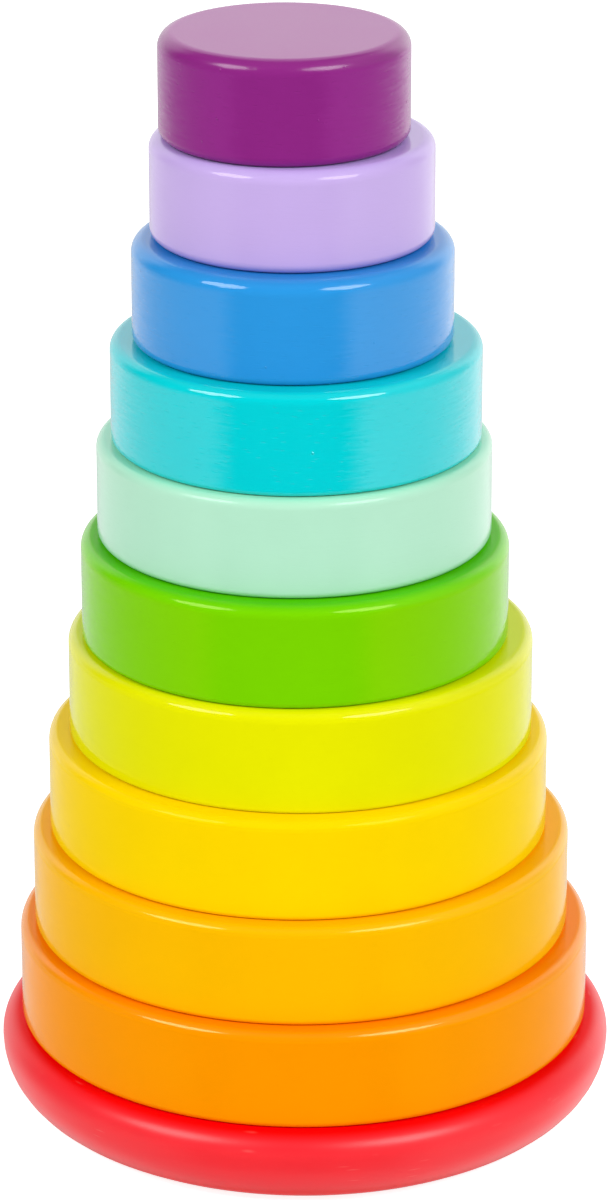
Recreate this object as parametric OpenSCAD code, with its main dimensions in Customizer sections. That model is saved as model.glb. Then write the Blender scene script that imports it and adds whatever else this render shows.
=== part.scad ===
// Rainbow stacker: nine wooden rings and a cap threaded on a wooden peg, which is glued upright
// in a round-rimmed base. The rings are bored much wider than the peg, so that small hands can
// thread them, and each lies a little to one side. Millimetres, Z up, and the origin is the
// centre of the base's underside.

/* [Base] */
// Diameter of the base
base_d = 130; // [124:0.5:170]
// Thickness of the base
base_h = 17.5; // [14:0.1:24]
// Radius of the rim's upper edge; its lower edge sweeps in over the rest of the thickness
rim_top_r = 5; // [2:0.1:8]
// Height of the straight band between the rim's two edges
rim_band = 0.5; // [0.2:0.1:3]

/* [Peg] */
// Diameter of the peg
peg_d = 14; // [11:0.5:16]
// Radius of the peg's rounded top edge
peg_top_r = 4; // [1:0.5:5]
// Chamfer at the glued foot of the peg
peg_foot_c = 1; // [0.2:0.1:2]
// Depth of the peg's blind socket in the base
peg_socket_depth = 9; // [6:0.5:11]
// Height that the peg stands up into the cap
peg_reach = 9.5; // [8:0.5:11]
// Gap for glue round the foot of the peg
glue_gap = 0.1; // [0.05:0.05:0.2]

/* [Bores] */
// Diameter of the rings' bores and of the cap's socket
bore_d = 23; // [18:0.5:28]
// Least gap that stays between a bore and the peg
bore_gap = 0.3; // [0.3:0.05:1]
// Rounding of the bores' edges
bore_edge_r = 1.6; // [0.5:0.1:3]
// Depth of the cap's blind socket
cap_socket_depth = 12; // [11.5:0.5:15]

/* [Rings] */
// Rounding of the outer edges of the rings and the cap
edge_r = 2.1; // [0.5:0.1:4]
// Diameter of the orange ring
orange_d = 120.9; // [110:0.1:124]
// Height of the orange ring
orange_h = 21.3; // [16:0.1:28]
// Diameter of the amber ring
amber_d = 113.4; // [100:0.1:120]
// Height of the amber ring
amber_h = 21.5; // [16:0.1:28]
// Diameter of the yellow ring
yellow_d = 104.9; // [90:0.1:112]
// Height of the yellow ring
yellow_h = 21.6; // [16:0.1:28]
// Diameter of the lime ring
lime_d = 97.2; // [84:0.1:104]
// Height of the lime ring
lime_h = 21.8; // [16:0.1:28]
// Diameter of the green ring
green_d = 88.9; // [76:0.1:96]
// Height of the green ring
green_h = 21.8; // [16:0.1:28]
// Diameter of the mint ring
mint_d = 81.7; // [70:0.1:88]
// Height of the mint ring
mint_h = 20.9; // [16:0.1:28]
// Diameter of the turquoise ring
turquoise_d = 76.4; // [64:0.1:81]
// Height of the turquoise ring
turquoise_h = 21.5; // [16:0.1:28]
// Diameter of the blue ring
blue_d = 65.8; // [56:0.1:75]
// Height of the blue ring
blue_h = 21.5; // [16:0.1:28]
// Diameter of the lavender ring
lavender_d = 58; // [50:0.1:65]
// Height of the lavender ring
lavender_h = 20.9; // [16:0.1:28]
// Diameter of the plum cap
plum_d = 50.9; // [44:0.1:57]
// Height of the plum cap
plum_h = 21.6; // [18:0.1:28]

/* [Hidden] */
$fn = 128;

// The threaded pieces from the bottom up, each as its diameter and height
stack = [
    [orange_d, orange_h], [amber_d, amber_h], [yellow_d, yellow_h], [lime_d, lime_h],
    [green_d, green_h], [mint_d, mint_h], [turquoise_d, turquoise_h], [blue_d, blue_h],
    [lavender_d, lavender_h], [plum_d, plum_h]
];
// How far each lies to the side, in X and Y, as shares of the room it has round the peg
lie_shares = [
    [-0.06, 0.01], [-0.21, 0.05], [-0.35, 0.03], [-0.22, 0.22],
    [-0.49, -0.21], [-0.52, 0.03], [-0.42, -0.08], [-0.58, -0.16],
    [-0.61, 0.16], [-0.98, 0]
];
cap_place = len(stack) - 1;
bore_r = bore_d / 2;
bore_flare = bore_r + bore_edge_r;
play = bore_r - peg_d / 2 - bore_gap;
rim_foot_r = base_h - rim_top_r - rim_band;
peg_foot_z = base_h - peg_socket_depth;
peg_h = stack_z(cap_place) + peg_reach - peg_foot_z;

// Height of the underside of the threaded piece i above the table
function stack_z(i) = i == 0 ? base_h : stack_z(i - 1) + stack[i - 1][1];

// Quarter disc of radius r about the point p, in the quadrant that the signs sx and sy name
module corner(p, sx, sy, r) {
    translate(p) intersection() {
        circle(r);
        translate([min(sx, 0) * r, min(sy, 0) * r]) square(r);
    }
}

// The two rounded outer corners of a turned disc of radius r and height h
module outer_corners(r, h, foot_r, top_r) {
    corner([r - foot_r, foot_r], 1, -1, foot_r);
    corner([r - top_r, h - top_r], 1, 1, top_r);
}

// Outline points up a turned disc's outer side, notched where its rounded corners go
function outer_side(r, h, foot_r, top_r) = [
    [r - foot_r, 0], [r - foot_r, foot_r], [r, foot_r],
    [r, h - top_r], [r - top_r, h - top_r], [r - top_r, h]
];

// Sets a threaded piece in its place on the peg
module on_peg(i) {
    translate([play * lie_shares[i][0], play * lie_shares[i][1], stack_z(i)]) children();
}

// A ring of the stack, bored through and rounded at all four edges
module ring(i) {
    r = stack[i][0] / 2;
    h = stack[i][1];
    on_peg(i) rotate_extrude() {
        polygon(concat(outer_side(r, h, edge_r, edge_r), [
            [bore_flare, h], [bore_flare, h - bore_edge_r], [bore_r, h - bore_edge_r],
            [bore_r, bore_edge_r], [bore_flare, bore_edge_r], [bore_flare, 0]
        ]));
        outer_corners(r, h, edge_r, edge_r);
        corner([bore_flare, bore_edge_r], -1, -1, bore_edge_r);
        corner([bore_flare, h - bore_edge_r], -1, 1, bore_edge_r);
    }
}

module base() {
    socket_r = peg_d / 2 + glue_gap;
    r = base_d / 2;
    color("#f5333a") rotate_extrude() {
        polygon(concat([[0, 0]], outer_side(r, base_h, rim_foot_r, rim_top_r), [
            [socket_r, base_h], [socket_r, peg_foot_z], [0, peg_foot_z]
        ]));
        outer_corners(r, base_h, rim_foot_r, rim_top_r);
    }
}

module peg() {
    r = peg_d / 2;
    color("#d9b382") translate([0, 0, peg_foot_z]) rotate_extrude() {
        polygon([
            [0, 0], [r - peg_foot_c, 0], [r, peg_foot_c], [r, peg_h - peg_top_r],
            [r - peg_top_r, peg_h - peg_top_r], [r - peg_top_r, peg_h], [0, peg_h]
        ]);
        corner([r - peg_top_r, peg_h - peg_top_r], 1, 1, peg_top_r);
    }
}

module orange_ring() { color("#fd9900") ring(0); }
module amber_ring() { color("#febd02") ring(1); }
module yellow_ring() { color("#fed801") ring(2); }
module lime_ring() { color("#e8e902") ring(3); }
module green_ring() { color("#7ad602") ring(4); }
module mint_ring() { color("#b6eacd") ring(5); }
module turquoise_ring() { color("#03d3da") ring(6); }
module blue_ring() { color("#3098e2") ring(7); }
module lavender_ring() { color("#c8aee9") ring(8); }

module plum_cap() {
    r = plum_d / 2;
    color("#912784") on_peg(cap_place) rotate_extrude() {
        polygon(concat(outer_side(r, plum_h, edge_r, edge_r), [
            [0, plum_h], [0, cap_socket_depth], [bore_r, cap_socket_depth],
            [bore_r, bore_edge_r], [bore_flare, bore_edge_r], [bore_flare, 0]
        ]));
        outer_corners(r, plum_h, edge_r, edge_r);
        corner([bore_flare, bore_edge_r], -1, -1, bore_edge_r);
    }
}

base();
peg();
orange_ring();
amber_ring();
yellow_ring();
lime_ring();
green_ring();
mint_ring();
turquoise_ring();
blue_ring();
lavender_ring();
plum_cap();
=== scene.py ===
"""Rainbow stacker: nine lacquered rings and a cap threaded on a beech peg in a round base."""

import math
from collections import namedtuple

import bmesh
import bpy
from bpy.props import FloatProperty, FloatVectorProperty, IntProperty, PointerProperty
from bpy.types import NodeSocket, Operator, Panel, PropertyGroup
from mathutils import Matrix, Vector


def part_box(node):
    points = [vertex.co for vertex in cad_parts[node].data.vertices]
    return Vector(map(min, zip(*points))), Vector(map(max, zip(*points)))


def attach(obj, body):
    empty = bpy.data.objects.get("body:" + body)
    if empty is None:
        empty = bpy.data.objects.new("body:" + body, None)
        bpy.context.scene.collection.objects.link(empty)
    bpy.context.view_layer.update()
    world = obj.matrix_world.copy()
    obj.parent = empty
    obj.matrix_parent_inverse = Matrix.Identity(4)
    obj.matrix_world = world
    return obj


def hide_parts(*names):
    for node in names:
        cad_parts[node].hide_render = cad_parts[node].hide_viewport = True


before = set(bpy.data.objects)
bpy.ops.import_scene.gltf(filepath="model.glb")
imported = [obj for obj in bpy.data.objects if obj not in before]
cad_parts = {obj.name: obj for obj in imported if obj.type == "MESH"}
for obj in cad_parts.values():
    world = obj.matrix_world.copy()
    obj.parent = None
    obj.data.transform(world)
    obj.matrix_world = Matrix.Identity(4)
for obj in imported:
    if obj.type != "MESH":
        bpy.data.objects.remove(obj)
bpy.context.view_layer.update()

bl_info = {
    "name": "Rainbow Stacker",
    "version": (1, 0, 0),
    "blender": (4, 5, 0),
    "location": "View3D > Sidebar > Stacker",
    "description": "Builds the looks of a wooden rainbow stacker round its CAD frame",
    "category": "Object",
}

MM = 0.001
# Steps of each rounded edge, and how close two points of a mesh are when they are one
ROUND_STEPS = 10
WELD = 0.001 * MM
LACQUER_IOR = 1.5
SMOOTH = {"interpolation_type": "SMOOTHSTEP"}


def linear(code):
    """The linear RGBA colour of an sRGB hex code."""
    channels = [int(code[i:i + 2], 16) / 255 for i in (0, 2, 4)]
    low = 0.04045
    rgb = [c / 12.92 if c <= low else ((c + 0.055) / 1.055) ** 2.4 for c in channels]
    return (*rgb, 1.0)


def length(name, description, millimetres):
    """A length property, written in millimetres."""
    return FloatProperty(
        name=name, description=description, default=millimetres * MM, min=0.0, unit="LENGTH"
    )


def paint(name, code):
    """A paint colour property, written as an sRGB hex code."""
    return FloatVectorProperty(
        name=name, description="Colour of the " + name.lower(), default=linear(code),
        size=4, min=0.0, max=1.0, subtype="COLOR",
    )


class StackerSizes(PropertyGroup):
    """Sizes that the CAD boxes don't give."""

    bore: length("Bore", "Diameter of the rings' bores and of the cap's socket", 23.0)
    bore_round: length("Bore rounding", "Rounding of the bores' edges", 1.6)
    cap_socket: length("Cap socket", "Depth of the cap's blind socket", 12.0)
    rim_top_round: length("Rim top", "Rounding of the base's upper edge", 5.0)
    rim_foot_round: length("Rim foot", "Rounding of the base's lower edge", 12.0)
    glue_gap: length("Glue gap", "Gap round the foot of the peg in its socket", 0.1)
    peg_top_round: length("Peg top", "Rounding of the peg's top edge", 4.0)
    peg_foot_bevel: length("Peg foot", "Chamfer at the foot of the peg", 1.0)
    hold: length("Hold", "Width of the narrow face beside each rounding that keeps flats flat", 0.15)
    steps: IntProperty(
        name="Steps", description="Steps round a turned piece", default=192, min=24, max=512
    )


class StackerColours(PropertyGroup):
    """Colours of the paints, the lacquers and the bare wood."""

    base: paint("Red paint", "f60006")
    peg: paint("Bare beech", "d9b382")
    orange_ring: paint("Orange lacquer", "ff9900")
    amber_ring: paint("Amber lacquer", "ffbd02")
    yellow_ring: paint("Yellow lacquer", "ffd801")
    lime_ring: paint("Lime lacquer", "e8e902")
    green_ring: paint("Green lacquer", "7ad602")
    mint_ring: paint("Mint lacquer", "b6eacd")
    turquoise_ring: paint("Turquoise lacquer", "03d3da")
    blue_ring: paint("Blue lacquer", "2b97e1")
    lavender_ring: paint("Lavender lacquer", "c8aee9")
    plum_cap: paint("Plum lacquer", "8d2581")


class StackerStudio(PropertyGroup):
    """Camera and light of the studio."""

    camera_place: FloatVectorProperty(
        name="Camera", description="Place of the camera", size=3, subtype="TRANSLATION",
        unit="LENGTH", default=(0.00103, -0.9451, 0.4737), precision=5,
    )
    camera_tilt: FloatProperty(
        name="Tilt", description="How far the camera looks down", subtype="ANGLE",
        default=math.radians(21.05),
    )
    camera_turn: FloatProperty(
        name="Turn", description="How far the camera turns to the left", subtype="ANGLE",
        default=math.radians(0.0366),
    )
    camera_lens: FloatProperty(
        name="Lens", description="Focal length on a 36 mm long side", default=145.62, unit="CAMERA"
    )
    box_glow: FloatProperty(
        name="Light boxes", description="Brightness of the light boxes, where 1 is white", default=7.75
    )


# One lacquered piece: its slot, the roundings of its top and bottom outer edges in millimetres,
# which were sanded by hand, its lacquer's roughness, the IOR of its side and of its top, how much
# of the red, green and blue that the IOR gives its flats and its edges mirror head-on, how a painted
# shade and light scales the three on its flat top, how strong the marks of its sanding are, and
# the size in millimetres of the cells that hold one dust nib each
Lacquer = namedtuple(
    "Lacquer",
    "slot edge foot roughness ior top_ior flat_gloss edge_gloss top_shade sanding nib_cell",
)
LACQUERS = {
    "orange_ring": Lacquer(
        "orange_lacquer", 2.0, 1.5, 0.12, 1.16, 1.16, (4.5, 4.5, 0.0), (1.0, 1.0, 0.52),
        (1.0, 0.84, 0.3), 0.3, 12
    ),
    "amber_ring": Lacquer(
        "amber_lacquer", 2.0, 1.4, 0.12, 1.13, 1.13, (6.5, 6.5, 0.0), (0.75, 0.75, 0.36),
        (1.0, 0.93, 0.3), 0.3, 12
    ),
    "yellow_ring": Lacquer(
        "yellow_lacquer", 2.1, 1.3, 0.14, 1.11, 1.11, (7.0, 7.0, 0.0), (0.26, 0.26, 0.06),
        (1.0, 0.98, 0.3), 0.3, 12
    ),
    "lime_ring": Lacquer(
        "lime_lacquer", 2.3, 0.9, 0.08, 1.19, 1.17, (1.0, 1.0, 0.0), (0.4, 0.35, 0.42),
        (1.0, 1.0, 0.5), 0.3, 11
    ),
    "green_ring": Lacquer(
        "green_lacquer", 2.5, 1.4, 0.10, 1.29, 1.14, (3.0, 1.0, 0.0), (0.65, 0.55, 0.24),
        (0.45, 0.85, 0.3), 0.4, 11
    ),
    "mint_ring": Lacquer(
        "mint_lacquer", 1.9, 1.5, 0.14, 1.5, 1.42, (0.8, 0.8, 0.8), (0.55, 0.55, 0.55),
        (0.82, 1.04, 0.97), 0.3, 12
    ),
    "turquoise_ring": Lacquer(
        "turquoise_lacquer", 2.2, 1.4, 0.06, 1.62, 1.42, (1.0, 1.0, 1.0), (1.0, 0.8, 0.85),
        (1.0, 0.97, 0.93), 1.0, 7.5
    ),
    "blue_ring": Lacquer(
        "blue_lacquer", 3.0, 1.7, 0.08, 1.54, 1.34, (1.0, 1.0, 1.0), (0.8, 0.8, 0.8),
        (0.85, 0.83, 0.88), 0.7, 8
    ),
    "lavender_ring": Lacquer(
        "lavender_lacquer", 2.6, 2.1, 0.10, 1.5, 1.45, (0.8, 0.8, 0.8), (0.65, 0.65, 0.6),
        (1.0, 1.0, 1.08), 0.3, 12
    ),
    "plum_cap": Lacquer(
        "plum_lacquer", 3.1, 2.1, 0.20, 1.5, 1.52, (1.0, 0.25, 1.0), (0.8, 0.8, 0.8),
        (1.05, 1.0, 1.03), 1.0, 3.8
    ),
}


def add(tree, kind, sockets=None, **settings):
    """Adds a shader node with its settings, and sets or links its sockets."""
    node = tree.nodes.new("ShaderNode" + kind)
    for key, value in settings.items():
        setattr(node, key, value)
    for key, value in (sockets or {}).items():
        if isinstance(value, NodeSocket):
            tree.links.new(value, node.inputs[key])
        else:
            node.inputs[key].default_value = value
    return node


def new_material(name):
    """An empty node material and its tree."""
    material = bpy.data.materials.new(name)
    material.use_nodes = True
    material.node_tree.nodes.clear()
    return material, material.node_tree


def turned_coordinates(tree, centre):
    """Coordinates about a turned piece's own axis: the place, the way out and the radius."""
    coords = add(tree, "TexCoord").outputs["Object"]
    place = add(tree, "Mapping", {"Vector": coords, "Location": -centre}).outputs[0]
    flat = add(
        tree, "VectorMath", {0: place, 1: (1, 1, 0)}, operation="MULTIPLY"
    ).outputs[0]
    way_out = add(tree, "VectorMath", {0: flat}, operation="NORMALIZE").outputs[0]
    radius = add(tree, "VectorMath", {0: flat}, operation="LENGTH").outputs["Value"]
    return place, way_out, radius


def scratch_marks(tree, way_out, climb, radius, long, wide):
    """Scratches round a turned piece, one in each cell so long and wide, as a mask."""
    scratch_share = 0.14
    out_x, out_y = add(tree, "SeparateXYZ", {0: way_out}).outputs[:2]
    angle = add(tree, "Math", {0: out_y, 1: out_x}, operation="ARCTAN2").outputs[0]
    along = add(tree, "Math", {0: angle, 1: radius / long}, operation="MULTIPLY").outputs[0]
    across = add(tree, "Math", {0: climb, 1: 1 / wide}, operation="MULTIPLY").outputs[0]
    place = add(tree, "CombineXYZ", {"X": along, "Y": across}).outputs[0]
    cells = add(
        tree, "TexVoronoi", {"Vector": place, "Scale": 1.0}, voronoi_dimensions="2D"
    ).outputs["Distance"]
    return add(
        tree, "MapRange",
        {"Value": cells, "From Max": scratch_share, "To Min": 1.0, "To Max": 0.0}, **SMOOTH
    ).outputs[0]


def lacquer_material(look, colour, centre, radius, tall):
    """Gloss lacquer, sprayed on turned and sanded wood.

    The eye sees a clear mirror-like gloss over an even pigment, fine sanding lines and short
    scratches round the piece that break up the borders of reflections, a faint orange peel and a
    few dust nibs.
    """
    # Real sanding lines and scratches are finer, and are drawn as coarse as they need to show
    line_gap = 0.5 * MM
    line_length = 6 * MM
    line_depth = 0.012 * MM
    line_low = 0.3
    line_high = 0.7
    line_lean = 0.045
    scratch_length = 7 * MM
    scratch_gap = 1.2 * MM
    scratch_depth = 0.04 * MM
    peel_size = 1.6 * MM
    peel_depth = 0.006 * MM
    nib_cell = look.nib_cell * MM
    nib_reach = 0.35 * MM
    nib_height = 0.15 * MM
    cloud_size = 15 * MM
    cloud_shade = 0.03
    cloud_gloss = 0.2
    top_mask_power = 4.0
    edge = look.edge * MM
    edge_gloss_from = 0.15
    edge_gloss_to = 0.4

    material, tree = new_material(look.slot + "_sprayed_on_turned_wood")
    place, way_out, rho = turned_coordinates(tree, centre)

    # Sanding lines run round the piece
    height = add(tree, "SeparateXYZ", {0: place}).outputs["Z"]
    climb = add(tree, "Math", {0: rho, 1: height}, operation="ADD").outputs[0]
    across = add(tree, "Math", {0: climb, 1: 1 / line_gap}, operation="MULTIPLY").outputs[0]
    across = add(tree, "CombineXYZ", {"Z": across}).outputs[0]
    round_scale = radius / line_length
    along = add(
        tree, "VectorMath", {0: way_out, 1: (round_scale, round_scale, round_scale), 2: across},
        operation="MULTIPLY_ADD",
    ).outputs[0]
    lines = add(
        tree, "TexNoise", {"Vector": along, "Scale": 1.0, "Detail": 2.0, "Roughness": 0.6}
    ).outputs[0]

    # How far a place is into the rounding of the top edge: none on the flats, one at its middle
    outward = add(
        tree, "MapRange", {"Value": rho, "From Min": radius - edge, "From Max": radius}
    ).outputs[0]
    upward = add(
        tree, "MapRange", {"Value": height, "From Min": tall - edge, "From Max": tall}
    ).outputs[0]
    rounded = add(tree, "Math", {0: outward, 1: upward}, operation="MULTIPLY").outputs[0]
    rounded = add(
        tree, "MapRange",
        {"Value": rounded, "From Min": edge_gloss_from, "From Max": edge_gloss_to}, **SMOOTH
    ).outputs[0]
    top_mask = add(tree, "Math", {0: upward, 1: top_mask_power}, operation="POWER").outputs[0]

    # The sandpaper only leaned on the sides, and the tops were polished free of nibs
    side = add(tree, "Math", {0: 1.0, 1: upward}, operation="SUBTRACT").outputs[0]
    sanded = add(tree, "Math", {0: side, 1: look.sanding}, operation="MULTIPLY").outputs[0]

    # Short scratches of the sandpaper run the same way as the lines. Their walls flash where the
    # light boxes shine.
    scratches = scratch_marks(tree, way_out, climb, radius, scratch_length, scratch_gap)
    scratches = add(tree, "Math", {0: scratches, 1: sanded}, operation="MULTIPLY").outputs[0]

    # Orange peel of the spray, and dust nibs under the lacquer
    peel = add(
        tree, "TexNoise", {"Vector": place, "Scale": 1 / peel_size, "Detail": 1.0}
    ).outputs[0]
    cells = add(
        tree, "TexVoronoi", {"Vector": place, "Scale": 1 / nib_cell}
    ).outputs["Distance"]
    nibs = add(
        tree, "MapRange",
        {"Value": cells, "From Max": nib_reach / nib_cell, "To Min": 1.0, "To Max": 0.0}, **SMOOTH
    ).outputs[0]
    nibs = add(tree, "Math", {0: nibs, 1: side}, operation="MULTIPLY").outputs[0]

    line_bump = add(tree, "Bump", {"Height": lines, "Distance": line_depth}).outputs[0]
    peel_bump = add(
        tree, "Bump", {"Height": peel, "Distance": peel_depth, "Normal": line_bump}
    ).outputs[0]
    scratch_bump = add(
        tree, "Bump", {"Height": scratches, "Distance": scratch_depth, "Normal": peel_bump},
        invert=True,
    ).outputs[0]
    nib_bump = add(
        tree, "Bump", {"Height": nibs, "Distance": nib_height, "Normal": scratch_bump}
    ).outputs[0]

    # The walls of the lines lean to the left or right, which makes reflections ragged
    lean = add(
        tree, "MapRange",
        {
            "Value": lines, "From Min": line_low, "From Max": line_high, "To Min": -line_lean,
            "To Max": line_lean,
        },
    ).outputs[0]
    lean = add(tree, "Math", {0: lean, 1: sanded}, operation="MULTIPLY").outputs[0]
    sideways = add(
        tree, "VectorMath", {0: (0, 0, 1), 1: way_out}, operation="CROSS_PRODUCT"
    ).outputs[0]
    leaning = add(
        tree, "VectorMath", {0: sideways, 1: lean, 2: nib_bump}, operation="MULTIPLY_ADD"
    ).outputs[0]
    normal = add(tree, "VectorMath", {0: leaning}, operation="NORMALIZE").outputs[0]

    # The pigment is a little uneven, in clouds, and the flat top gets painted shade and light
    clouds = add(
        tree, "TexNoise", {"Vector": place, "Scale": 1 / cloud_size, "Detail": 2.0}
    ).outputs[0]
    shade = add(
        tree, "MapRange",
        {"Value": clouds, "To Min": 1 - cloud_shade, "To Max": 1 + cloud_shade},
    ).outputs[0]
    # Painted shade and light: the colour is scaled per ring towards the flat top
    painted_top_shade_mix = add(
        tree, "Mix", {0: top_mask, 6: (1.0, 1.0, 1.0, 1.0), 7: (*look.top_shade, 1.0)},
        data_type="RGBA",
    ).outputs[2]
    pigment = add(
        tree, "VectorMath", {0: colour[:3], 3: shade}, operation="SCALE"
    ).outputs[0]
    pigment = add(
        tree, "VectorMath", {0: pigment, 1: painted_top_shade_mix}, operation="MULTIPLY"
    ).outputs[0]
    rough = add(
        tree, "MapRange",
        {
            "Value": clouds, "To Min": look.roughness * (1 - cloud_gloss),
            "To Max": look.roughness * (1 + cloud_gloss),
        },
    ).outputs[0]

    # The pigments of the warm colours swallow blue, so their flats gloss warm. The rounded edges
    # hold a thicker coat, and mirror the light boxes in their own strength.
    gloss = add(
        tree, "Mix", {0: rounded, 6: (*look.flat_gloss, 1.0), 7: (*look.edge_gloss, 1.0)},
        data_type="RGBA",
    ).outputs[2]
    ior = add(tree, "Mix", {0: top_mask, 2: look.ior, 3: look.top_ior}).outputs[0]
    ior = add(tree, "Mix", {0: rounded, 2: ior, 3: LACQUER_IOR}).outputs[0]
    shader = add(
        tree, "BsdfPrincipled",
        {
            "Base Color": pigment, "Roughness": rough, "IOR": ior, "Specular Tint": gloss,
            "Normal": normal,
        },
    )
    add(tree, "OutputMaterial", {"Surface": shader.outputs[0]})
    return material


def red_paint_material(colour, centre, radius):
    """Satin paint, brushed on turned wood and smoothed down.

    The eye sees a deep red with broad, soft highlights, a paler red painted on the rim as a sheen
    for its soft reflection, a few pale scuffs, and dull on the flat where the rings lie.
    """
    painted_sheen_red = linear("fd202d")
    scuffed_pink = linear("ff8a80")
    painted_sheen_from = radius - 3.8 * MM
    painted_sheen_to = radius - 0.6 * MM
    scuff_length = 14 * MM
    scuff_gap = 2 * MM
    scuff_strength = 0.2
    cloud_size = 12 * MM
    patch_from = 0.52
    patch_to = 0.62
    dark_cloud = 0.96
    pale_cloud = 1.03
    least_rough = 0.29
    most_rough = 0.39
    flat_level = 0.05
    rim_level = 0.5
    stipple_size = 0.9 * MM
    stipple_depth = 0.012 * MM

    material, tree = new_material("red_satin_paint_on_turned_wood")
    place, way_out, rho = turned_coordinates(tree, centre)
    # The rim is painted a paler red, a painted sheen for the soft pale reflection on the rounded rim
    rim = add(
        tree, "MapRange", {"Value": rho, "From Min": painted_sheen_from, "From Max": painted_sheen_to}, **SMOOTH
    ).outputs[0]
    painted_sheen_mix = add(
        tree, "Mix", {0: rim, 6: colour, 7: painted_sheen_red}, data_type="RGBA"
    ).outputs[2]
    clouds = add(
        tree, "TexNoise", {"Vector": place, "Scale": 1 / cloud_size, "Detail": 3.0}
    ).outputs[0]
    shade = add(
        tree, "MapRange", {"Value": clouds, "To Min": dark_cloud, "To Max": pale_cloud}
    ).outputs[0]

    # A few pale scuffs run round the base, in patches
    height = add(tree, "SeparateXYZ", {0: place}).outputs["Z"]
    climb = add(tree, "Math", {0: rho, 1: height}, operation="ADD").outputs[0]
    scuffs = scratch_marks(tree, way_out, climb, radius, scuff_length, scuff_gap)
    patches = add(
        tree, "MapRange",
        {
            "Value": clouds, "From Min": patch_from, "From Max": patch_to,
            "To Max": scuff_strength,
        },
    ).outputs[0]
    scuffs = add(tree, "Math", {0: scuffs, 1: patches}, operation="MULTIPLY").outputs[0]
    scuffed = add(
        tree, "Mix", {0: scuffs, 6: painted_sheen_mix, 7: scuffed_pink}, data_type="RGBA"
    ).outputs[2]
    pigment = add(
        tree, "VectorMath", {0: scuffed, 3: shade}, operation="SCALE"
    ).outputs[0]

    # The rim is satin and the flat is dull, and brush hairs left a fine stipple
    rough = add(
        tree, "MapRange", {"Value": clouds, "To Min": least_rough, "To Max": most_rough}
    ).outputs[0]
    level = add(
        tree, "MapRange", {"Value": rim, "To Min": flat_level, "To Max": rim_level}
    ).outputs[0]
    stipple = add(
        tree, "TexNoise", {"Vector": place, "Scale": 1 / stipple_size, "Detail": 2.0}
    ).outputs[0]
    normal = add(tree, "Bump", {"Height": stipple, "Distance": stipple_depth}).outputs[0]
    shader = add(
        tree, "BsdfPrincipled",
        {
            "Base Color": pigment, "Roughness": rough, "IOR": LACQUER_IOR,
            "Specular IOR Level": level, "Normal": normal,
        },
    )
    add(tree, "OutputMaterial", {"Surface": shader.outputs[0]})
    return material


def bare_beech_material(colour):
    """Bare beech, turned and sanded.

    The eye sees a pale dry wood with fine lines along the peg, short dark flecks, and no gloss.
    """
    fibre_width = 0.5 * MM
    fibre_length = 20 * MM
    fibre_depth = 0.03 * MM
    fleck_width = 0.6 * MM
    fleck_length = 2.5 * MM
    fleck_core = 0.1
    fleck_border = 0.3
    fleck_shade = 0.8
    dark_fibre = 0.85
    pale_fibre = 1.1
    dry_roughness = 0.62
    wood_ior = 1.5

    material, tree = new_material("bare_beech_turned_and_sanded")
    coords = add(tree, "TexCoord").outputs["Object"]
    fibre_scale = (1 / fibre_width, 1 / fibre_width, 1 / fibre_length)
    fibre_place = add(tree, "Mapping", {"Vector": coords, "Scale": fibre_scale}).outputs[0]
    fibres = add(
        tree, "TexNoise", {"Vector": fibre_place, "Scale": 1.0, "Detail": 3.0}
    ).outputs[0]
    fleck_scale = (1 / fleck_width, 1 / fleck_width, 1 / fleck_length)
    fleck_place = add(tree, "Mapping", {"Vector": coords, "Scale": fleck_scale}).outputs[0]
    flecks = add(
        tree, "TexVoronoi", {"Vector": fleck_place, "Scale": 1.0}
    ).outputs["Distance"]
    fleck_mask = add(
        tree, "MapRange",
        {
            "Value": flecks, "From Min": fleck_core, "From Max": fleck_border,
            "To Min": fleck_shade, "To Max": 1.0,
        },
    ).outputs[0]
    shade = add(
        tree, "MapRange", {"Value": fibres, "To Min": dark_fibre, "To Max": pale_fibre}
    ).outputs[0]
    shade = add(tree, "Math", {0: shade, 1: fleck_mask}, operation="MULTIPLY").outputs[0]
    wood = add(
        tree, "VectorMath", {0: colour[:3], 3: shade}, operation="SCALE"
    ).outputs[0]
    normal = add(tree, "Bump", {"Height": fibres, "Distance": fibre_depth}).outputs[0]
    shader = add(
        tree, "BsdfPrincipled",
        {"Base Color": wood, "Roughness": dry_roughness, "IOR": wood_ior, "Normal": normal},
    )
    add(tree, "OutputMaterial", {"Surface": shader.outputs[0]})
    return material


def middle(node):
    """The foot of a node's own upright axis, its outer radius and its height."""
    low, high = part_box(node)
    foot = Vector(((low.x + high.x) / 2, (low.y + high.y) / 2, low.z))
    return foot, (high.x - low.x) / 2, high.z - low.z


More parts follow.
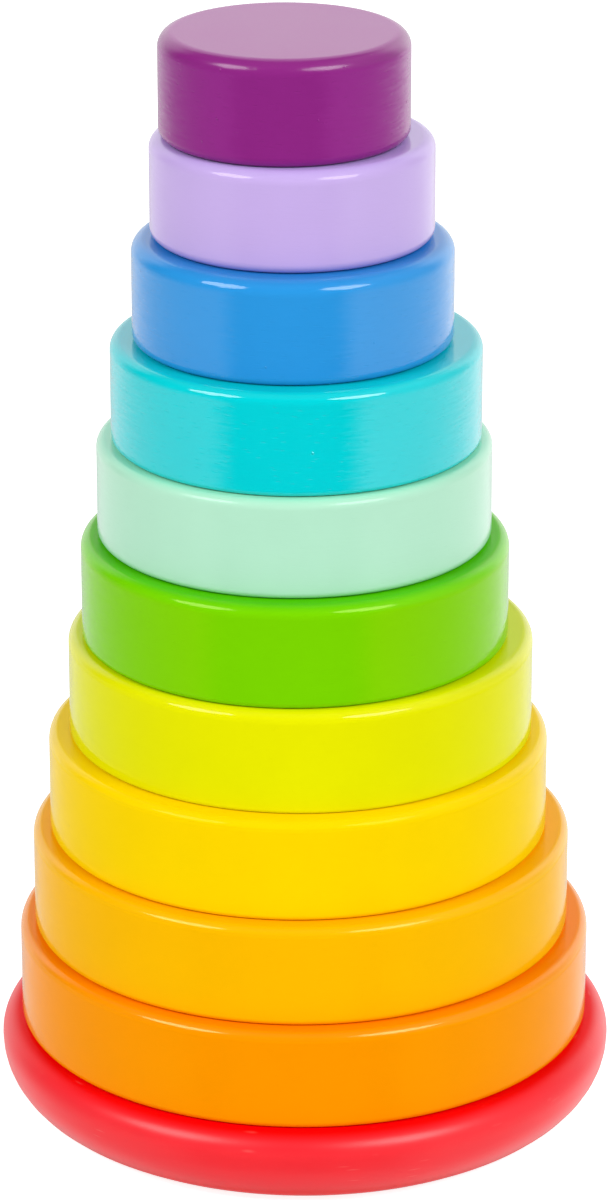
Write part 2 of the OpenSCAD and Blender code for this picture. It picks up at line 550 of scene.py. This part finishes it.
def turn(name, foot, section, closed, sizes):
    """A turned piece: a section of (radius, height, rounding) corners, spun round its axis."""
    bm = bmesh.new()
    corners = []
    verts = []
    count = len(section)
    for i, (radius, height, rounding) in enumerate(section):
        here = Vector((radius, 0.0, height))
        neighbours = []
        for step in (-1, 1):
            j = i + step
            if closed or 0 <= j < count:
                other = section[j % count]
                neighbours.append(Vector((other[0], 0.0, other[1])))
            else:
                neighbours.append(None)
        reach = rounding + sizes.hold
        before, after = neighbours
        if before is not None:
            verts.append(bm.verts.new(here + (before - here).normalized() * reach))
        verts.append(bm.verts.new(here))
        if rounding > 0.0:
            corners.append((verts[-1], rounding))
        if after is not None:
            verts.append(bm.verts.new(here + (after - here).normalized() * reach))
    for a, b in zip(verts, verts[1:]):
        bm.edges.new((a, b))
    if closed:
        bm.edges.new((verts[-1], verts[0]))
    for corner, rounding in corners:
        bmesh.ops.bevel(
            bm, geom=[corner], offset=rounding, offset_type="OFFSET", affect="VERTICES",
            segments=ROUND_STEPS, profile=0.5, material=-1,
        )
    bmesh.ops.spin(
        bm, geom=bm.verts[:] + bm.edges[:], cent=(0, 0, 0), axis=(0, 0, 1),
        angle=2 * math.pi, steps=sizes.steps, use_merge=True,
    )
    bmesh.ops.remove_doubles(bm, verts=bm.verts[:], dist=WELD)
    bmesh.ops.recalc_face_normals(bm, faces=bm.faces[:])
    bmesh.ops.translate(bm, verts=bm.verts[:], vec=foot)
    for face in bm.faces:
        face.smooth = True
    mesh = bpy.data.meshes.new(name)
    bm.to_mesh(mesh)
    bm.free()
    piece = bpy.data.objects.new(name, mesh)
    bpy.context.scene.collection.objects.link(piece)
    return piece


def settle(piece, node, body, material):
    """Gives a piece its finish and its body, and lets it stand for its CAD node."""
    piece.data.materials.append(material)
    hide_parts(node)
    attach(piece, body)


class STACKER_OT_base(Operator):
    """Turns the red base with its rounded rim and the peg's socket"""

    bl_idname = "stacker.base"
    bl_label = "Base"

    def execute(self, context):
        sizes = context.scene.stacker_sizes
        foot, radius, height = middle("base")
        peg_foot, peg_radius = middle("peg")[:2]
        socket_floor = peg_foot.z - foot.z
        socket_radius = peg_radius + sizes.glue_gap
        section = [
            (0.0, 0.0, 0.0), (radius, 0.0, sizes.rim_foot_round),
            (radius, height, sizes.rim_top_round), (socket_radius, height, 0.0),
            (socket_radius, socket_floor, 0.0), (0.0, socket_floor, 0.0),
        ]
        piece = turn("base_turned", foot, section, False, sizes)
        colour = context.scene.stacker_colours.base
        settle(piece, "base", "stand", red_paint_material(colour, foot, radius))
        return {"FINISHED"}


class STACKER_OT_peg(Operator):
    """Turns the bare beech peg with its rounded top"""

    bl_idname = "stacker.peg"
    bl_label = "Peg"

    def execute(self, context):
        sizes = context.scene.stacker_sizes
        foot, radius, height = middle("peg")
        bevel = sizes.peg_foot_bevel
        section = [
            (0.0, 0.0, 0.0), (radius - bevel, 0.0, 0.0), (radius, bevel, 0.0),
            (radius, height, sizes.peg_top_round), (0.0, height, 0.0),
        ]
        piece = turn("peg_turned", foot, section, False, sizes)
        colour = context.scene.stacker_colours.peg
        settle(piece, "peg", "stand", bare_beech_material(colour))
        return {"FINISHED"}


class STACKER_OT_rings(Operator):
    """Turns the nine lacquered rings, bored through and rounded at every edge"""

    bl_idname = "stacker.rings"
    bl_label = "Rings"

    def execute(self, context):
        sizes = context.scene.stacker_sizes
        colours = context.scene.stacker_colours
        bore = sizes.bore / 2
        for node, look in LACQUERS.items():
            if not node.endswith("_ring"):
                continue
            foot, radius, height = middle(node)
            section = [
                (bore, 0.0, sizes.bore_round), (radius, 0.0, look.foot * MM),
                (radius, height, look.edge * MM), (bore, height, sizes.bore_round),
            ]
            piece = turn(node + "_turned", foot, section, True, sizes)
            colour = getattr(colours, node)
            material = lacquer_material(look, colour, foot, radius, height)
            settle(piece, node, node, material)
        return {"FINISHED"}


class STACKER_OT_cap(Operator):
    """Turns the plum cap, with its blind socket below"""

    bl_idname = "stacker.cap"
    bl_label = "Cap"

    def execute(self, context):
        sizes = context.scene.stacker_sizes
        look = LACQUERS["plum_cap"]
        foot, radius, height = middle("plum_cap")
        bore = sizes.bore / 2
        section = [
            (0.0, sizes.cap_socket, 0.0), (bore, sizes.cap_socket, 0.0),
            (bore, 0.0, sizes.bore_round), (radius, 0.0, look.foot * MM),
            (radius, height, look.edge * MM), (0.0, height, 0.0),
        ]
        piece = turn("plum_cap_turned", foot, section, False, sizes)
        colour = context.scene.stacker_colours.plum_cap
        material = lacquer_material(look, colour, foot, radius, height)
        settle(piece, "plum_cap", "plum_cap", material)
        return {"FINISHED"}


def white_floor():
    """A white table that keeps the shadow, and that can be looked through from below."""
    laminate = linear("ececec")
    half_width = 30.0
    # A hair above the underside, so that the base's underside gets light when seen from below
    lift = 0.02 * MM
    # The camera sees the table this much brighter than it is lit, so that it turns white
    camera_glow = 0.85
    bm = bmesh.new()
    bmesh.ops.create_grid(bm, x_segments=1, y_segments=1, size=half_width)
    bmesh.ops.translate(bm, verts=bm.verts[:], vec=(0, 0, lift))
    mesh = bpy.data.meshes.new("floor")
    bm.to_mesh(mesh)
    bm.free()
    floor = bpy.data.objects.new("floor", mesh)
    bpy.context.scene.collection.objects.link(floor)
    material, tree = new_material("white_table_laminate")
    path = add(tree, "LightPath")
    matt = add(tree, "BsdfDiffuse", {"Color": laminate})
    glow = add(
        tree, "Math", {0: path.outputs["Is Camera Ray"], 1: camera_glow}, operation="MULTIPLY"
    )
    lit = add(tree, "Emission", {"Strength": glow.outputs[0]})
    white = add(tree, "AddShader", {0: matt.outputs[0], 1: lit.outputs[0]})
    clear = add(tree, "BsdfTransparent")
    back = add(tree, "NewGeometry").outputs["Backfacing"]
    unseen = add(
        tree, "Math", {0: back, 1: path.outputs["Is Glossy Ray"]}, operation="MAXIMUM"
    )
    surface = add(
        tree, "MixShader", {0: unseen.outputs[0], 1: white.outputs[0], 2: clear.outputs[0]}
    )
    add(tree, "OutputMaterial", {"Surface": surface.outputs[0]})
    mesh.materials.append(material)


def room():
    """The white room, as gloss mirrors it and as it fills the shadows."""
    # Brightness of the parts of the room, where 1 is white
    left_table_glow = 1.0
    right_table_glow = 1.3
    rear_gain = 1.35
    far_loss = 0.65
    left_wall_glow = 0.05
    right_wall_glow = 0.8
    ceiling_glow = 0.25
    backdrop_glow = 1.65
    low_fill_glow = 1.02
    left_fill_glow = 0.19
    right_fill_glow = 0.48
    # Directions in the room, as angles from the front, where the camera stands
    front_skew = math.radians(4)
    front_end = math.radians(32)
    side_start = math.radians(54)
    side_end = math.radians(80)
    backdrop_start = math.radians(115)
    rear_start = math.radians(140)
    far_start = math.radians(148)
    crest_start = math.radians(150)
    far_end = math.radians(170)
    # Directions up and down, as the upward part of a way of length 1
    near_table_end = -0.85
    far_table_start = -0.6
    table_end = -0.4
    wall_start = 0.3
    low_fill_end = 0.2
    high_fill_start = 0.45
    ceiling_start = 0.6
    ceiling_full = 0.9
    side_crest = 0.75
    rear_crest = 1.0
    crest_fade = 0.25
    # Directions to the side, as the rightward part of a way of length 1
    table_left = -0.4
    table_right = 0.4
    wall_left = 0.2
    wall_right = 0.6
    fill_left = -0.2
    fill_right = 0.6

    world = bpy.data.worlds.new("white_room")
    bpy.context.scene.world = world
    world.use_nodes = True
    tree = world.node_tree
    tree.nodes.clear()
    path = add(tree, "LightPath")
    way = add(tree, "TexCoord").outputs["Generated"]
    x, y, z = add(tree, "SeparateXYZ", {0: way}).outputs
    towards = add(tree, "Math", {0: y, 1: -1.0}, operation="MULTIPLY").outputs[0]
    aside = add(tree, "Math", {0: x, 1: towards}, operation="ARCTAN2").outputs[0]
    turned = add(tree, "Math", {0: aside}, operation="ABSOLUTE").outputs[0]

    # The table is white close to the stack and at both sides, brighter on the right and behind,
    # greyer far behind, and dark far in front
    off_front = add(tree, "Math", {0: aside, 1: front_skew}, operation="ADD").outputs[0]
    off_front = add(tree, "Math", {0: off_front}, operation="ABSOLUTE").outputs[0]
    beside = add(
        tree, "MapRange", {"Value": off_front, "From Min": front_end, "From Max": side_start},
        **SMOOTH
    ).outputs[0]
    close = add(
        tree, "MapRange", {"Value": z, "From Min": far_table_start, "From Max": near_table_end},
        **SMOOTH
    ).outputs[0]
    white = add(tree, "Math", {0: beside, 1: close}, operation="MAXIMUM").outputs[0]
    level = add(
        tree, "MapRange",
        {
            "Value": x, "From Min": table_left, "From Max": table_right,
            "To Min": left_table_glow, "To Max": right_table_glow,
        },
        **SMOOTH
    ).outputs[0]
    rise = add(
        tree, "MapRange",
        {
            "Value": turned, "From Min": side_end, "From Max": rear_start, "To Min": 1.0,
            "To Max": rear_gain,
        },
        **SMOOTH
    ).outputs[0]
    fall = add(
        tree, "MapRange",
        {
            "Value": turned, "From Min": far_start, "From Max": far_end, "To Min": 1.0,
            "To Max": far_loss,
        },
        **SMOOTH
    ).outputs[0]
    table = add(tree, "Math", {0: level, 1: rise}, operation="MULTIPLY").outputs[0]
    table = add(tree, "Math", {0: table, 1: fall}, operation="MULTIPLY").outputs[0]
    table = add(tree, "Math", {0: table, 1: white}, operation="MULTIPLY").outputs[0]

    # Above it there is a dim wall on the right, a dimmer ceiling and a bright backdrop, which is
    # highest right behind the stack
    wall = add(
        tree, "MapRange",
        {
            "Value": x, "From Min": wall_left, "From Max": wall_right,
            "To Min": left_wall_glow, "To Max": right_wall_glow,
        },
        **SMOOTH
    ).outputs[0]
    wall = add(tree, "Math", {0: wall, 1: beside}, operation="MULTIPLY").outputs[0]
    ceiling = add(
        tree, "MapRange",
        {
            "Value": z, "From Min": ceiling_start, "From Max": ceiling_full,
            "To Max": ceiling_glow,
        },
        **SMOOTH
    ).outputs[0]
    across = add(
        tree, "MapRange", {"Value": turned, "From Min": backdrop_start, "From Max": rear_start},
        **SMOOTH
    ).outputs[0]
    crest = add(
        tree, "MapRange",
        {
            "Value": turned, "From Min": crest_start, "From Max": far_end,
            "To Min": side_crest, "To Max": rear_crest,
        },
        **SMOOTH
    ).outputs[0]
    low = add(tree, "Math", {0: crest, 1: z}, operation="SUBTRACT").outputs[0]
    low = add(
        tree, "MapRange", {"Value": low, "From Max": crest_fade, "To Max": backdrop_glow}, **SMOOTH
    ).outputs[0]
    backdrop = add(tree, "Math", {0: across, 1: low}, operation="MULTIPLY").outputs[0]
    upper = add(tree, "Math", {0: wall, 1: ceiling}, operation="ADD").outputs[0]
    upper = add(tree, "Math", {0: upper, 1: backdrop}, operation="ADD").outputs[0]
    below = add(
        tree, "MapRange", {"Value": z, "From Min": wall_start, "From Max": table_end}, **SMOOTH
    ).outputs[0]
    mirrored = add(tree, "Mix", {0: below, 2: upper, 3: table}).outputs[0]

    # Matt surfaces get a soft fill, mostly from low down and from the right
    high_fill = add(
        tree, "MapRange",
        {
            "Value": x, "From Min": fill_left, "From Max": fill_right,
            "To Min": left_fill_glow, "To Max": right_fill_glow,
        },
        **SMOOTH
    ).outputs[0]
    fill = add(
        tree, "MapRange",
        {
            "Value": z, "From Min": low_fill_end, "From Max": high_fill_start,
            "To Min": low_fill_glow, "To Max": high_fill,
        },
        **SMOOTH
    ).outputs[0]
    matt = path.outputs["Is Diffuse Ray"]
    strength = add(tree, "Mix", {0: matt, 2: mirrored, 3: fill}).outputs[0]
    strength = add(
        tree, "Mix", {0: path.outputs["Is Camera Ray"], 2: strength, 3: 1.0}
    ).outputs[0]
    glow = add(tree, "Background", {"Strength": strength})
    add(tree, "OutputWorld", {"Surface": glow.outputs[0]})


# The light boxes, each with how far to the right of the front it stands, in degrees
LIGHT_BOXES = {"left_light_box": -57, "right_light_box": 43}


def light_box(name, azimuth, glow):
    """A light box that faces the stack, placed by angles as seen from it."""
    target = Vector((0.0, 0.0, 0.12))
    elevation = 41
    distance = 3.0
    width = 1.6
    tall = 1.35
    turned = math.radians(azimuth)
    raised = math.radians(elevation)
    way = Vector((
        math.sin(turned) * math.cos(raised), -math.cos(turned) * math.cos(raised),
        math.sin(raised),
    ))
    lamp = bpy.data.lights.new(name, "AREA")
    lamp.shape = "ELLIPSE"
    lamp.size = width
    lamp.size_y = tall
    # A flat lamp of one brightness gives its area times pi in watts
    area = math.pi / 4 * width * tall
    lamp.energy = math.pi * area * glow
    box = bpy.data.objects.new(name, lamp)
    box.location = target + way * distance
    box.rotation_mode = "QUATERNION"
    box.rotation_quaternion = (-way).to_track_quat("-Z", "Y")
    box.visible_camera = False
    bpy.context.scene.collection.objects.link(box)


class STACKER_OT_stage(Operator):
    """Sets up the white table and room, the two light boxes and the camera"""

    bl_idname = "stacker.stage"
    bl_label = "Stage"

    def execute(self, context):
        studio = context.scene.stacker_studio
        long_side = 36.0
        context.scene.view_settings.view_transform = "Standard"
        camera_data = bpy.data.cameras.new("camera")
        camera_data.lens = studio.camera_lens
        camera_data.sensor_width = long_side
        camera = bpy.data.objects.new("camera", camera_data)
        camera.location = studio.camera_place
        camera.rotation_euler = (math.pi / 2 - studio.camera_tilt, 0.0, studio.camera_turn)
        context.scene.collection.objects.link(camera)
        context.scene.camera = camera
        white_floor()
        room()
        for name, azimuth in LIGHT_BOXES.items():
            light_box(name, azimuth, studio.box_glow)
        return {"FINISHED"}


class STACKER_PT_panel(Panel):
    """Lists the steps that build the stacker, with their sizes and colours"""

    bl_label = "Rainbow Stacker"
    bl_idname = "STACKER_PT_panel"
    bl_space_type = "VIEW_3D"
    bl_region_type = "UI"
    bl_category = "Stacker"

    def draw(self, context):
        for step in STEPS:
            self.layout.operator(step.bl_idname)
        for group in GROUPS:
            column = self.layout.column()
            for key in group.__annotations__:
                column.prop(getattr(context.scene, GROUPS[group]), key)


GROUPS = {
    StackerSizes: "stacker_sizes",
    StackerColours: "stacker_colours",
    StackerStudio: "stacker_studio",
}
STEPS = (STACKER_OT_stage, STACKER_OT_base, STACKER_OT_peg, STACKER_OT_rings, STACKER_OT_cap)


def register():
    for part in (*GROUPS, *STEPS, STACKER_PT_panel):
        bpy.utils.register_class(part)
    for group, key in GROUPS.items():
        setattr(bpy.types.Scene, key, PointerProperty(type=group))


def unregister():
    for key in GROUPS.values():
        delattr(bpy.types.Scene, key)
    for part in (STACKER_PT_panel, *STEPS, *GROUPS):
        bpy.utils.unregister_class(part)


def main():
    register()
    bpy.ops.stacker.stage()
    bpy.ops.stacker.base()
    bpy.ops.stacker.peg()
    bpy.ops.stacker.rings()
    bpy.ops.stacker.cap()


if __name__ == "__main__":
    main()
